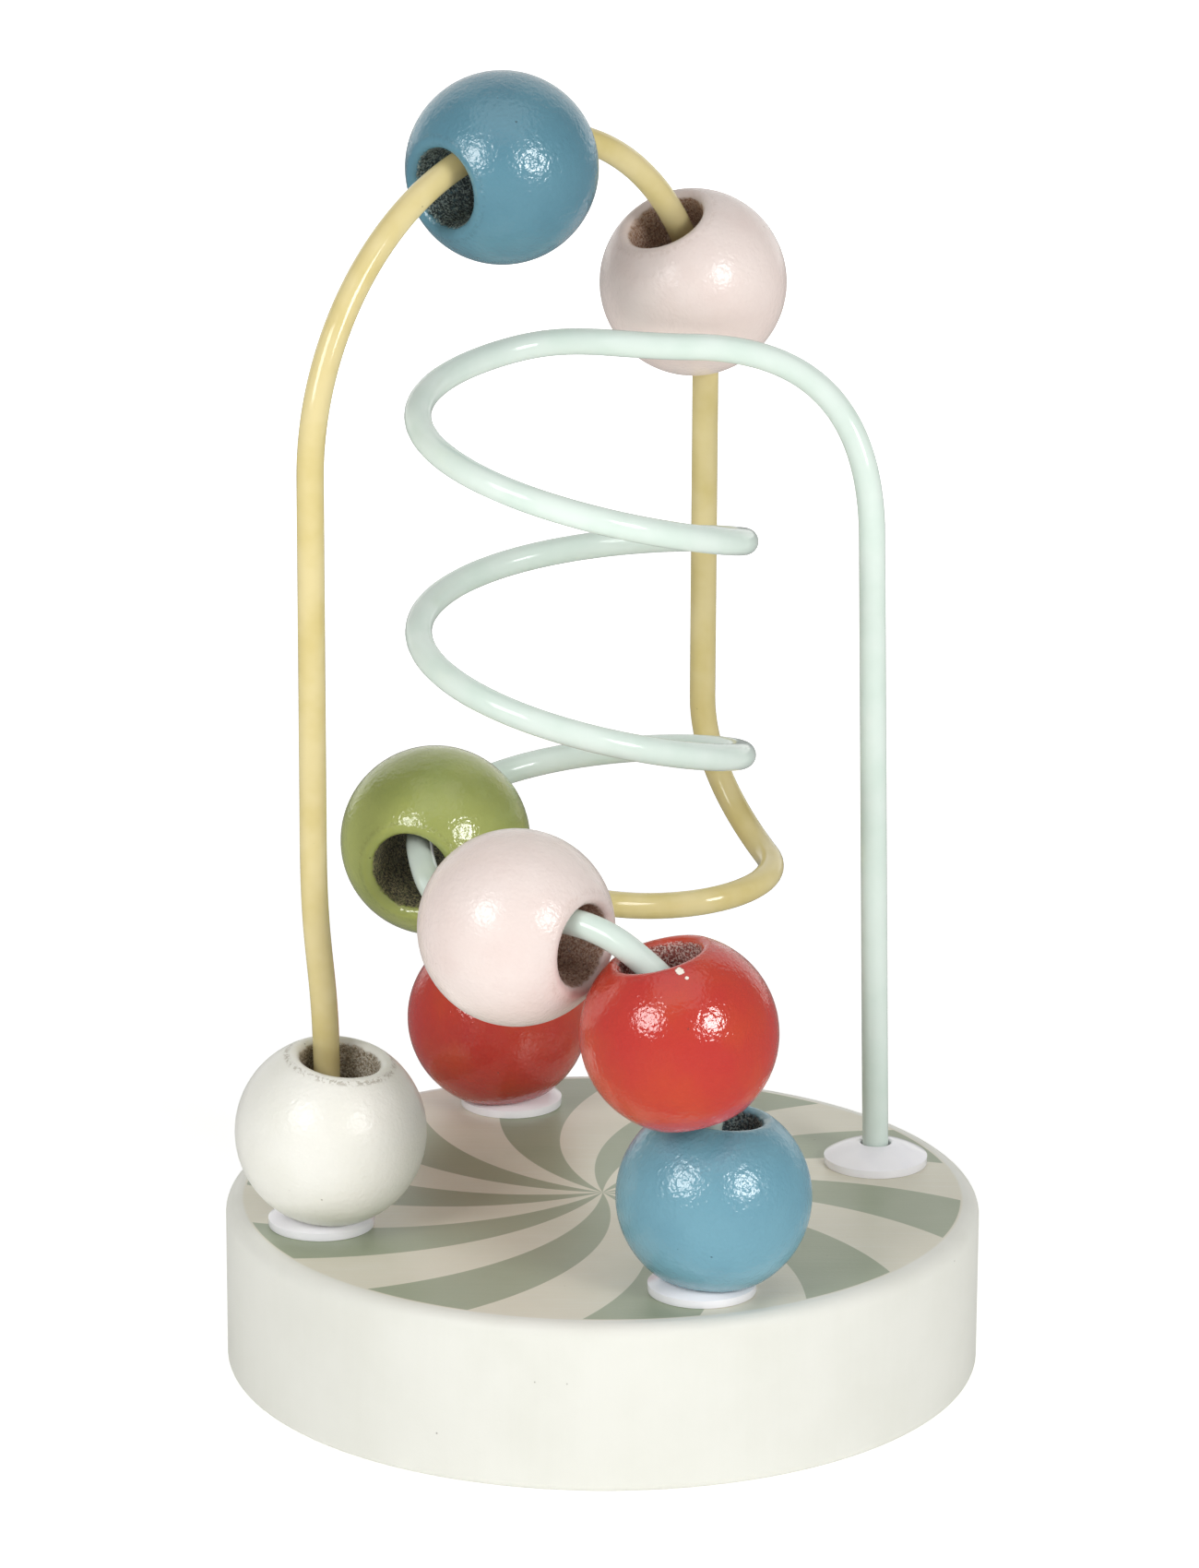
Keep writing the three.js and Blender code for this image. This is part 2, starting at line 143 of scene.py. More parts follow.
class Shader:
    """A material and the nodes in it."""

    dot_core = 0.4
    pick_soft = 0.02

    def __init__(self, name: str) -> None:
        """Starts an empty material."""
        self.material = bpy.data.materials.new(name)
        self.material.use_nodes = True
        self.tree = self.material.node_tree
        self.tree.nodes.clear()

    def add(
        self,
        kind: str,
        settings: dict[str, Any] | None = None,
        inputs: dict[str | int, Any] | None = None,
        output: str | int = 0,
    ) -> Signal:
        """Adds any node.

        Args:
            kind: the node's type.
            settings: the node's own settings, set first.
            inputs: the values or signals of its sockets, by name or number.
            output: the output to give.

        Returns:
            That output as a signal.
        """
        node = self.tree.nodes.new(kind)
        for key, value in (settings or {}).items():
            setattr(node, key, value)
        for key, value in (inputs or {}).items():
            if isinstance(value, Signal):
                self.tree.links.new(value.socket, node.inputs[key])
            else:
                node.inputs[key].default_value = value
        return Signal(self, node.outputs[output])

    def place(self, centre: Vector = Vector(), turn: Matrix = Matrix.Identity(3)) -> Signal:
        """Gives the place on the piece, seen from its own centre and turn."""
        where = self.add("ShaderNodeTexCoord", output="Object")
        inputs = {"Vector": where, "Location": centre, "Rotation": turn.to_euler()}
        return self.add("ShaderNodeMapping", {"vector_type": "TEXTURE"}, inputs)

    def stretch(self, where: Signal, scale: Stretch) -> Signal:
        """Scales a place along each axis."""
        settings = {"operation": "MULTIPLY"}
        return self.add("ShaderNodeVectorMath", settings, {0: where, 1: scale})

    def distance(self, where: Signal, spot: Vector) -> Signal:
        """Gives the distance from a spot on the piece."""
        settings = {"operation": "DISTANCE"}
        return self.add("ShaderNodeVectorMath", settings, {0: where, 1: spot}, 1)

    def axes(self, where: Signal) -> tuple[Signal, Signal, Signal]:
        """Splits a place into x, y and z."""
        x = self.add("ShaderNodeSeparateXYZ", None, {0: where})
        return x, x.of(1), x.of(2)

    def noise(self, where: Signal, size: float, detail: float = 2.0, rough: float = 0.5) -> Signal:
        """Gives cloudy noise from 0 to 1 with features of a size in metres."""
        inputs = {"Vector": where, "Scale": 1 / size, "Detail": detail, "Roughness": rough}
        return self.add("ShaderNodeTexNoise", None, inputs)

    def dots(self, where: Signal, spacing: float, radius: float, share: float) -> Signal:
        """Gives small dots scattered one to a cell.

        Args:
            where: the place on the piece.
            spacing: the size of a cell, in metres.
            radius: the size of a dot, in metres.
            share: the share of cells that have one.

        Returns:
            1 on a dot and 0 elsewhere.
        """
        cell = self.add("ShaderNodeTexVoronoi", None, {"Vector": where, "Scale": 1 / spacing})
        pick = self.add("ShaderNodeSeparateColor", None, {0: cell.of("Color")})
        limit, empty = radius / spacing, 1 - share
        dot = cell.ramp(limit, limit * self.dot_core)
        return dot * pick.ramp(empty, empty + self.pick_soft)

    def mix(self, share: Any, first: Any, second: Any, way: str = "MIX") -> Signal:
        """Mixes two colours by a share: a Mix node has colours at inputs 6 and 7 and output 2."""
        settings = {"data_type": "RGBA", "blend_type": way}
        return self.add("ShaderNodeMix", settings, {0: share, 6: first, 7: second}, 2)

    def bump(self, height: Signal, depth: float) -> Signal:
        """Gives the normal of a surface with a height from 0 to 1 over a depth in metres."""
        return self.add("ShaderNodeBump", None, {"Height": height, "Distance": depth})

    def surface(self, inputs: dict[str, Any]) -> bpy.types.Material:
        """Closes the material with its surface.

        Args:
            inputs: the values or signals of the surface.

        Returns:
            The finished material.
        """
        skin = self.add("ShaderNodeBsdfPrincipled", None, inputs)
        end = self.tree.nodes.new("ShaderNodeOutputMaterial")
        self.tree.links.new(skin.socket, end.inputs["Surface"])
        return self.material


class Lathe:
    """A profile drawn in the XZ plane, then turned about +Z."""

    def __init__(self, x: float, z: float) -> None:
        """Starts the profile at a point."""
        self.bm = bmesh.new()
        self.tip = self.bm.verts.new((x, 0.0, z))

    def line(self, x: float, z: float) -> "Lathe":
        """Draws a straight line to a point."""
        made = bmesh.ops.extrude_vert_indiv(self.bm, verts=[self.tip])
        self.tip = made["verts"][0]
        self.tip.co = (x, 0.0, z)
        return self

    def arc(self, x: float, z: float, degrees: float, steps: int) -> "Lathe":
        """Draws an arc about a centre, counter-clockwise with +Z up and +X to the right."""
        made = bmesh.ops.spin(
            self.bm,
            geom=[self.tip],
            cent=(x, 0.0, z),
            axis=(0.0, -1.0, 0.0),
            angle=math.radians(degrees),
            steps=steps,
        )
        self.tip = next(item for item in made["geom_last"] if isinstance(item, bmesh.types.BMVert))
        return self

    def turn(self, sides: int) -> bmesh.types.BMesh:
        """Turns the profile a full turn.

        Args:
            sides: steps round the axis.

        Returns:
            The turned mesh, with no doubles.
        """
        bmesh.ops.spin(
            self.bm,
            geom=self.bm.verts[:] + self.bm.edges[:],
            cent=(0.0, 0.0, 0.0),
            axis=UP,
            angle=FULL_TURN,
            steps=sides,
            use_merge=True,
        )
        bmesh.ops.remove_doubles(self.bm, verts=self.bm.verts, dist=SEAM)
        return self.bm


def piece(bm: bmesh.types.BMesh, name: str, material: bpy.types.Material) -> bpy.types.Object:
    """Makes an object of a closed mesh, with smooth faces and sharp corners.

    Args:
        bm: the mesh, which is used up.
        name: the object's name.
        material: its only material.

    Returns:
        The object, linked to the scene.
    """
    bmesh.ops.recalc_face_normals(bm, faces=bm.faces)
    mesh = bpy.data.meshes.new(name)
    bm.to_mesh(mesh)
    bm.free()
    mesh.shade_smooth()
    mesh.set_sharp_from_angle(angle=SHARP)
    mesh.materials.append(material)
    made = bpy.data.objects.new(name, mesh)
    bpy.context.scene.collection.objects.link(made)
    return made


def stand_for(made: bpy.types.Object, body: str, node: str) -> None:
    """Makes a piece ride on a body in place of a node."""
    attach(made, body)
    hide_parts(node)
    LOG.info("%s stands for %s on %s", made.name, node, body)


@dataclass(frozen=True)
class Print:
    """The swirl printed on the base's top: rays that run out from its middle in a spiral."""

    rays: int = 10
    width: float = 18.0
    first: float = -12.0
    twist: float = 600.0
    edge: float = 57.0 * MM
    margin: float = 0.6 * MM
    soft: float = 0.09 * MM
    cover: float = 0.9
    ground: Colour = linear("#dbd7c5")
    ink: Colour = linear("#99a38a")


@dataclass(frozen=True)
class Lacquer:
    """The base's off-white lacquer over upright grain."""

    body: Colour = linear("#e3e3db")
    shade: Colour = linear("#d9dacf")
    roughness: float = 0.48
    print_roughness: float = 0.33
    cloud_roughness: float = 0.12
    fine_roughness: float = 0.06
    top_begins: float = 0.3 * MM
    top_full: float = 0.05 * MM
    side_grain: float = 1.1 * MM
    side_stretch: Stretch = (1.0, 1.0, 0.05)
    side_shade: float = 0.07
    side_relief: float = 0.12
    top_grain: float = 0.9 * MM
    top_stretch: Stretch = (0.06, 1.0, 1.0)
    top_fade: float = 0.35
    top_relief: float = 0.6
    cloud: float = 14 * MM
    cloud_shade: float = 0.16
    fine: float = 0.5 * MM
    fine_relief: float = 0.5
    fleck_spacing: float = 5 * MM
    fleck_radius: float = 0.22 * MM
    fleck_share: float = 0.22
    fleck_strength: float = 0.6
    fleck_dent: float = 0.5
    fleck: Colour = linear("#6d675b")
    depth: float = 0.04 * MM
    swirl: Print = Print()


class Sheen(Enum):
    """How a bead's paint shines: roughness, specular level and its bumps' depth in millimetres."""

    GLOSS = (0.14, 0.85, 0.21)
    PEBBLED = (0.2, 0.9, 0.3)
    SMOOTH = (0.24, 0.5, 0.22)
    SATIN = (0.32, 0.5, 0.2)


@dataclass(frozen=True)
class Paint:
    """A bead's paint, the bare wood and any painted shade that its bore shows, and how worn the
    rims of its mouths are.
    """

    name: str
    colour: Colour
    deep: Colour
    wood_and_bore_shade: Colour
    fleck: Colour
    sheen: Sheen
    wear: float = 0.15


@dataclass(frozen=True)
class Skin:
    """The marks in every bead's paint and bore: their sizes, strengths and shared colours."""

    ragged: float = 0.7 * MM
    speckle: float = 0.35 * MM
    speckle_relief: float = 2.2
    speckle_dent: float = 1.2
    cloud: float = 11 * MM
    cloud_share: float = 0.6
    cloud_roughness: float = 0.1
    fibre: float = 0.55 * MM
    fibre_stretch: Stretch = (1.0, 1.0, 0.12)
    fibre_relief: float = 0.16
    fine: float = 0.6 * MM
    fine_relief: float = 0.34
    dimple: float = 1.3 * MM
    dimple_relief: float = 0.46
    pin_spacing: float = 4.5 * MM
    pin_radius: float = 0.2 * MM
    pin_share: float = 0.3
    pin_strength: float = 0.55
    pin_dent: float = 0.5
    rub_place: float = 1.7
    rub_width: float = 0.6 * MM
    rub_core: float = 0.1 * MM
    rub_strength: float = 0.8
    rub_dent: float = 0.5
    edge_in: float = 0.15 * MM
    edge_wander: float = 0.9 * MM
    edge_soft: float = 0.12 * MM
    bare_roughness: float = 0.9
    pit: Colour = linear("#241d18")
    pit_strength: float = 0.8
    chip: Colour = linear("#f2e9dc")
    chip_wander: float = 1.6
    chip_core: float = 0.75
    singe: tuple[float, float] = (1.15, 0.9)
    singe_strength: float = 0.8


@dataclass(frozen=True)
class Coat:
    """The plastic coat of a wire."""

    name: str
    colour: Colour
    tone: Colour
    tone_share: float = 0.7
    roughness: float = 0.12
    fine_roughness: float = 0.12
    mottle: float = 9 * MM
    ripple: float = 3.5 * MM
    ripple_relief: float = 0.8
    fine: float = 0.8 * MM
    fine_relief: float = 0.2
    speck_spacing: float = 4 * MM
    speck_radius: float = 0.2 * MM
    speck_share: float = 0.3
    speck_strength: float = 0.5
    speck: Colour = linear("#5d5a49")
    depth: float = 0.025 * MM


BLUE = Paint(
    name="blue_paint",
    colour=linear("#70a1b2"),
    deep=linear("#6294a7"),
    # Bore colour darkened past bare wood: painted shade inside the bore.
    wood_and_bore_shade=linear("#2b3d41"),
    fleck=linear("#9fb0ae"),
    sheen=Sheen.PEBBLED,
)
# The same blue paint made darker for the upper bead: painted shade.
SHADED_BLUE = replace(BLUE, colour=linear("#578595"), deep=linear("#4a788a"))
PINK = Paint(
    name="pink_paint",
    colour=linear("#e5d7d1"),
    deep=linear("#decac3"),
    wood_and_bore_shade=linear("#a8836d"),
    fleck=linear("#d3baa8"),
    sheen=Sheen.SMOOTH,
)
RED = Paint(
    name="red_paint",
    colour=linear("#ba342d"),
    deep=linear("#c04a24"),
    wood_and_bore_shade=linear("#8f463d"),
    fleck=linear("#e0bfb6"),
    sheen=Sheen.GLOSS,
)
GREEN = Paint(
    name="green_paint",
    colour=linear("#a0a75e"),
    deep=linear("#87924a"),
    # Bore colour darkened past bare wood: painted shade inside the bore.
    wood_and_bore_shade=linear("#37341f"),
    fleck=linear("#9a916a"),
    sheen=Sheen.GLOSS,
)
CREAM = Paint(
    name="cream_paint",
    colour=linear("#eae9e1"),
    deep=linear("#e2e1d6"),
    wood_and_bore_shade=linear("#94866f"),
    fleck=linear("#d8cfc0"),
    sheen=Sheen.SATIN,
    wear=0.6,
)

MINT = Coat("mint_coat", linear("#d8e4dc"), linear("#cbdcd1"))
YELLOW = Coat("yellow_coat", linear("#d9ca96"), linear("#cab873"))


@dataclass
class Base:
    """The round wooden base with its four foot holes."""

    diameter: float = 120 * MM
    height: float = 27 * MM
    top_round: float = 2.2 * MM
    top_steps: int = 8
    low_round: float = 1.4 * MM
    low_steps: int = 6
    band: float = 0.5 * MM
    hole_depth: float = 19.4 * MM
    hole_sides: int = 40
    seat_depth: float = 19 * MM
    foot_circle: float = 93.4 * MM
    foot_angle: float = 19.0
    finish: Lacquer = Lacquer()
    sides: int = 160

    def feet(self) -> list[Vector]:
        """Gives the places of the feet on the base's top: right, back, left and front."""
        turns = [math.radians(self.foot_angle + 90 * quarter) for quarter in range(4)]
        reach = self.foot_circle / 2
        return [Vector((reach * math.cos(a), reach * math.sin(a), self.height)) for a in turns]

    def profile(self) -> Lathe:
        """Draws half of the disc, with a narrow band beside each rounded edge."""
        r, h, low, top = self.diameter / 2, self.height, self.low_round, self.top_round
        band = self.band
        half = Lathe(0.0, 0.0).line(r - low - band, 0.0).line(r - low, 0.0)
        half.arc(r - low, low, 90, self.low_steps).line(r, low + band).line(r, h - top - band)
        half.line(r, h - top).arc(r - top, h - top, 90, self.top_steps)
        return half.line(r - top - band, h).line(0.0, h)

    def build(self, hole_radius: float) -> None:
        """Makes the disc, drills its holes and lets it stand for its node.

        Args:
            hole_radius: the radius of a foot hole.
        """
        made = piece(self.profile().turn(self.sides), "wooden_base", self.dress())
        bm = bmesh.new()
        for foot in self.feet():
            bmesh.ops.create_cone(
                bm,
                cap_ends=True,
                segments=self.hole_sides,
                radius1=hole_radius,
                radius2=hole_radius,
                depth=2 * self.hole_depth,
                matrix=Matrix.Translation(foot),
            )
        drill = piece(bm, "drill", made.data.materials[0])
        cut = made.modifiers.new("holes", "BOOLEAN")
        cut.object = drill
        cut.solver = "EXACT"
        solid = made.evaluated_get(bpy.context.evaluated_depsgraph_get())
        made.data = bpy.data.meshes.new_from_object(solid)
        made.modifiers.clear()
        made.data.shade_smooth()
        made.data.set_sharp_from_angle(angle=SHARP)
        bpy.data.objects.remove(drill)
        stand_for(made, STAND, "base")

    def rays(self, x: Signal, y: Signal, r: Signal) -> Signal:
        """Gives the swirl's rays as 1 on the ink and 0 beside it."""
        swirl = self.finish.swirl
        spread = 360 / swirl.rays
        turn = y.angle(x) * math.degrees(1) - swirl.first - (swirl.edge - r) * swirl.twist
        off = abs((turn / spread + 0.5).fract() - 0.5) * spread
        inside = (swirl.width / 2 - off) * r * math.radians(1)
        soft = swirl.soft
        return inside.ramp(-soft, soft) * r.ramp(swirl.edge + soft, swirl.edge - soft)

    def dress(self) -> bpy.types.Material:
        """Makes the lacquer: upright grain on the side, and the printed swirl on the top."""
        look = self.finish
        shader = Shader("base_lacquer")
        here = shader.place()
        x, y, z = shader.axes(here)
        r = (x * x + y * y) ** 0.5
        top = z.ramp(self.height - look.top_begins, self.height - look.top_full)
        upright = shader.noise(shader.stretch(here, look.side_stretch), look.side_grain, 3.0, 0.6)
        along = shader.noise(shader.stretch(here, look.top_stretch), look.top_grain, 3.0, 0.6)
        grain = upright + (along - upright) * top
        cloud = shader.noise(here, look.cloud, 3.0)
        fleck = shader.dots(here, look.fleck_spacing, look.fleck_radius, look.fleck_share)
        side = shader.mix(grain.ramp(0.35, 0.75) * look.side_shade, look.body, look.shade)
        ink = self.rays(x, y, r)
        faded = grain.ramp(0.45, 0.8) * look.top_fade
        plain = shader.mix(faded, look.swirl.ground, look.body)
        cover = look.swirl.cover + grain * (1 - look.swirl.cover)
        inked = shader.mix(ink * cover, plain, look.swirl.ink)
        reach = r.ramp(look.swirl.edge + look.swirl.margin, look.swirl.edge)
        printed = shader.mix(reach, look.body, inked)
        colour = shader.mix(top, side, printed)
        clouded = cloud.ramp(0.3, 0.8) * look.cloud_shade
        toned = shader.mix(clouded, colour, look.shade, "MULTIPLY")
        dusty = shader.mix(fleck * look.fleck_strength, toned, look.fleck)
        fine = shader.noise(here, look.fine)
        relief = look.side_relief + top * (look.top_relief - look.side_relief)
        height = grain * relief + fine * look.fine_relief - fleck * look.fleck_dent
        matt = look.roughness + (look.print_roughness - look.roughness) * top
        return shader.surface({
            "Base Color": dusty,
            "Roughness": matt + (cloud - 0.5) * look.cloud_roughness + fine * look.fine_roughness,
            "Normal": shader.bump(height, look.depth),
        })


@dataclass
class Collar:
    """A white collar round a wire's foot, with its spigot in the base."""

    diameter: float = 16.7 * MM
    height: float = 3.8 * MM
    rim: float = 1.3 * MM
    rim_split: float = 0.6
    dome_steps: int = 20
    lip: float = 0.4 * MM
    lip_steps: int = 5
    bore_radius: float = 2.4 * MM
    spigot_wall: float = 1.7 * MM
    spigot_length: float = 14 * MM
    gap: float = 0.3 * MM
    foot_round: float = 0.15 * MM
    foot_steps: int = 3
    colour: Colour = linear("#fbfafd")
    tone: Colour = linear("#f1f0f7")
    tone_share: float = 0.5
    roughness: float = 0.12
    cloud: float = 5 * MM
    scuff: float = 0.6 * MM
    scuff_roughness: float = 0.1
    depth: float = 0.004 * MM
    sides: int = 72

    def hole_radius(self) -> float:
        """Gives the radius of the base's hole for the spigot."""
        return self.bore_radius + self.spigot_wall + self.gap

    def profile(self) -> Lathe:
        """Draws the spigot, the rounded rim, the dome and the lip of the bore."""
        r, bore = self.diameter / 2, self.bore_radius
        crown = self.height - self.rim
        dome = (r * r + crown * crown) / (2 * crown)
        lip_r = bore + self.lip
        rim_turn = math.asin(r / dome)
        lip_turn = math.asin(lip_r / dome)
        lip_z = self.height - dome + math.sqrt(dome * dome - lip_r * lip_r)
        half = Lathe(bore, -self.spigot_length)
        half.line(bore + self.spigot_wall, -self.spigot_length).line(bore + self.spigot_wall, 0.0)
        foot = self.foot_round
        half.line(r - foot, 0.0).arc(r - foot, foot, 90, self.foot_steps)
        half.line(r, self.rim * self.rim_split).line(r, self.rim)
        half.arc(0.0, self.height - dome, math.degrees(rim_turn - lip_turn), self.dome_steps)
        half.arc(lip_r, lip_z - self.lip, 90, self.lip_steps)
        return half.line(bore, -self.spigot_length)

    def dress(self) -> bpy.types.Material:
        """Makes the glossy white plastic with faint flow marks and scuffs."""
        shader = Shader("collar_plastic")
        here = shader.place()
        cloud = shader.noise(here, self.cloud, 3.0)
        scuff = shader.noise(here, self.scuff, 3.0, 0.65)
        toned = cloud.ramp(0.35, 0.8) * self.tone_share
        return shader.surface({
            "Base Color": shader.mix(toned, self.colour, self.tone),
            "Roughness": self.roughness + scuff * self.scuff_roughness,
            "Normal": shader.bump(scuff, self.depth),
        })

    def build(self, name: str, foot: Vector, material: bpy.types.Material) -> None:
        """Makes one collar at a foot and lets it stand for its node."""
        bm = self.profile().turn(self.sides)
        bmesh.ops.translate(bm, vec=foot, verts=bm.verts)
        stand_for(piece(bm, f"white_{name}", material), STAND, name)


class Curve:
    """A stretch of a wire's route."""

    samples = 64
    nudge = 1e-4

    def at(self, share: float) -> Vector:
        """Gives the point at a share of the way."""
        raise NotImplementedError

    def heading(self, share: float) -> Vector:
        """Gives the direction at a share of the way."""
        low, high = max(share - self.nudge, 0.0), min(share + self.nudge, 1.0)
        return (self.at(high) - self.at(low)).normalized()

    def points(self, step: float) -> list[Vector]:
        """Gives even points along the stretch, without its end."""
        rough = [self.at(i / self.samples) for i in range(self.samples + 1)]
        length = sum((b - a).length for a, b in zip(rough, rough[1:]))
        count = max(round(length / step), 1)
        return [self.at(i / count) for i in range(count)]


@dataclass(frozen=True)
class Straight(Curve):
    """A straight stretch."""

    start: Vector
    end: Vector

    def at(self, share: float) -> Vector:
        """Gives the point at a share of the way."""
        return self.start.lerp(self.end, share)


@dataclass(frozen=True)
class Bend(Curve):
    """A smooth bend that leaves along one direction and arrives along another."""

    start: Vector
    leaving: Vector
    end: Vector
    arriving: Vector
    leaving_run: float
    arriving_run: float

    def at(self, share: float) -> Vector:
        """Gives the point at a share of the way."""
        first = self.start + self.leaving * self.leaving_run
        second = self.end - self.arriving * self.arriving_run
        rest = 1 - share
        near = self.start * rest**3 + first * (3 * rest * rest * share)
        return near + second * (3 * rest * share * share) + self.end * share**3


@dataclass(frozen=True)
class Helix(Curve):
    """A sinking turn about an upright axis that dips towards +X."""

    axis: Vector
    radius: float
    top: float
    pitch: float
    dip: float
    start: float
    turn: float

    def at(self, share: float) -> Vector:
        """Gives the point at a share of the way."""
        angle = self.start + self.turn * share
        sunk = self.pitch * abs(self.turn) * share / FULL_TURN
        dipped = self.dip * (math.cos(angle) - math.cos(self.start))
        out = Vector((math.cos(angle), math.sin(angle), 0.0)) * self.radius
        return Vector((self.axis.x, self.axis.y, self.top - sunk - dipped)) + out


@dataclass(frozen=True)
class Arch(Curve):
    """An arch on two points, upright at both."""

    start: Vector
    end: Vector
    rise: float

    def at(self, share: float) -> Vector:
        """Gives the point at a share of the way."""
        middle = (self.start + self.end) / 2
        across = (self.end - self.start) / 2
        turn = math.pi * share
        return middle - across * math.cos(turn) + UP * (self.rise * math.sin(turn))


@dataclass
class Wire:
    """A coated wire bent along a route."""

    name: str
    node: str
    route: list[Curve]
    finish: Coat
    diameter: float = 4.2 * MM
    step: float = 1.3 * MM
    sides: int = 24

    def centreline(self) -> list[Vector]:
        """Gives the points of the whole route."""
        line = [point for curve in self.route for point in curve.points(self.step)]
        return line + [self.route[-1].at(1.0)]

    def sweep(self) -> bmesh.types.BMesh:
        """Draws a ring out along the route and closes its ends."""
        line = self.centreline()
        ways = [(b - a).normalized() for a, b in zip(line, line[1:])]
        way = ways[0]
        bm = bmesh.new()
        turn = UP.rotation_difference(way).to_matrix().to_4x4()
        bmesh.ops.create_circle(
            bm,
            cap_ends=True,
            segments=self.sides,
            radius=self.diameter / 2,
            matrix=Matrix.Translation(line[0]) @ turn,
        )
        edges = bm.edges[:]
        for i in range(1, len(line)):
            made = bmesh.ops.extrude_edge_only(bm, edges=edges)["geom"]
            verts = [item for item in made if isinstance(item, bmesh.types.BMVert)]
            edges = [item for item in made if isinstance(item, bmesh.types.BMEdge)]
            edges = [edge for edge in edges if all(vert in verts for vert in edge.verts)]
            ahead = ways[min(i, len(ways) - 1)]
            facing = (ways[i - 1] + ahead).normalized()
            swing = way.rotation_difference(facing).to_matrix().to_4x4()
            move = Matrix.Translation(line[i]) @ swing @ Matrix.Translation(-line[i - 1])
            bmesh.ops.transform(bm, matrix=move, verts=verts)
            way = facing
        bmesh.ops.edgeloop_fill(bm, edges=edges)
        return bm

    def dress(self) -> bpy.types.Material:
        """Makes the glossy plastic coat with drips, specks and a faint mottle."""
        look = self.finish
        shader = Shader(look.name)
        here = shader.place()
        mottle = shader.noise(here, look.mottle, 3.0)
        speck = shader.dots(here, look.speck_spacing, look.speck_radius, look.speck_share)
        fine = shader.noise(here, look.fine)
        ripple = shader.noise(here, look.ripple)
        toned = mottle.ramp(0.35, 0.75) * look.tone_share
        colour = shader.mix(toned, look.colour, look.tone)
        height = ripple * look.ripple_relief + fine * look.fine_relief
        return shader.surface({
            "Base Color": shader.mix(speck * look.speck_strength, colour, look.speck),
            "Roughness": look.roughness + (fine - 0.5) * look.fine_roughness,
            "Normal": shader.bump(height, look.depth),
        })

    def build(self) -> None:
        """Makes the wire and lets it stand for its node."""
        stand_for(piece(self.sweep(), self.name, self.dress()), STAND, self.node)


def above(place: Vector, height: float) -> Vector:
    """Gives a point above the base's top at a place in plan."""
    return Vector((place.x, place.y, Base.height + height))


def seat(foot: Vector) -> Vector:
    """Gives a wire's end inside the base under a foot."""
    return above(foot, -Base.seat_depth)


@dataclass(frozen=True)
class MintRoute:
    """The mint wire's way: right post, level shoulder, coil and the sweep to the front foot.

    Heights are above the base's top, angles are in degrees, and a run is a bend's handle.
    """

    post_height: float = 104 * MM
    post_lean: float = 2.2 * MM
    shoulder: Vector = Vector((13.1, 22.2)) * MM
    shoulder_height: float = 132.9 * MM
    shoulder_rise: float = 22 * MM
    shoulder_run: float = 17.7 * MM
    coil_lead: float = 12.6 * MM
    coil_axis: Vector = Vector((-3.7, 0.0)) * MM
    coil_radius: float = 25.3 * MM
    coil_height: float = 131.92 * MM
    coil_pitch: float = 34.3 * MM
    coil_dip: float = 1.4 * MM
    coil_start: float = 119.4
    coil_turns: float = 2.1863
    crest: Vector = Vector((3.7, -50.6)) * MM
    crest_height: float = 56.4 * MM
    crest_heading: float = -25.3
    crest_fall: float = 31.5
    crest_run: float = 18.4 * MM
    sweep_run: float = 37 * MM
    front_run: float = 24 * MM
    front_drop: float = 17.3 * MM
    leg_height: float = 15.7 * MM

    def coil(self) -> Helix:
        """Gives the coil."""
        return Helix(
            axis=self.coil_axis,
            radius=self.coil_radius,
            top=Base.height + self.coil_height,
            pitch=self.coil_pitch,
            dip=self.coil_dip,
            start=math.radians(self.coil_start),
            turn=FULL_TURN * self.coil_turns,
        )

    def falling(self) -> Vector:
        """Gives the way that the wire heads at the crest of the sweep."""
        fall, aside = math.radians(self.crest_fall), math.radians(self.crest_heading)
        level = Vector((math.cos(aside), math.sin(aside), 0.0))
        return level * math.cos(fall) + DOWN * math.sin(fall)

    def stretches(self, right: Vector, front: Vector) -> list[Curve]:
        """Gives the way as a list of stretches.

        Args:
            right: the right foot.
            front: the front foot.

        Returns:
            The stretches in order.
        """
        post_foot = above(right, 0.0)
        post_top = above(right, self.post_height) + LEFT * self.post_lean
        rising = (post_top - post_foot).normalized()
        shoulder = above(self.shoulder, self.shoulder_height)
        coil = self.coil()
        into, out = coil.heading(0.0), coil.heading(1.0)
        crest, falling = above(self.crest, self.crest_height), self.falling()
        leg_top = above(front, self.leg_height)
        return [
            Straight(seat(right), post_foot),
            Straight(post_foot, post_top),
            Bend(post_top, rising, shoulder, LEFT, self.shoulder_rise, self.shoulder_run),
            Bend(shoulder, LEFT, coil.at(0.0), into, self.coil_lead, self.coil_lead),
            coil,
            Bend(coil.at(1.0), out, crest, falling, self.sweep_run, self.crest_run),
            Bend(crest, falling, leg_top, DOWN, self.front_run, self.front_drop),
            Straight(leg_top, seat(front)),
        ]


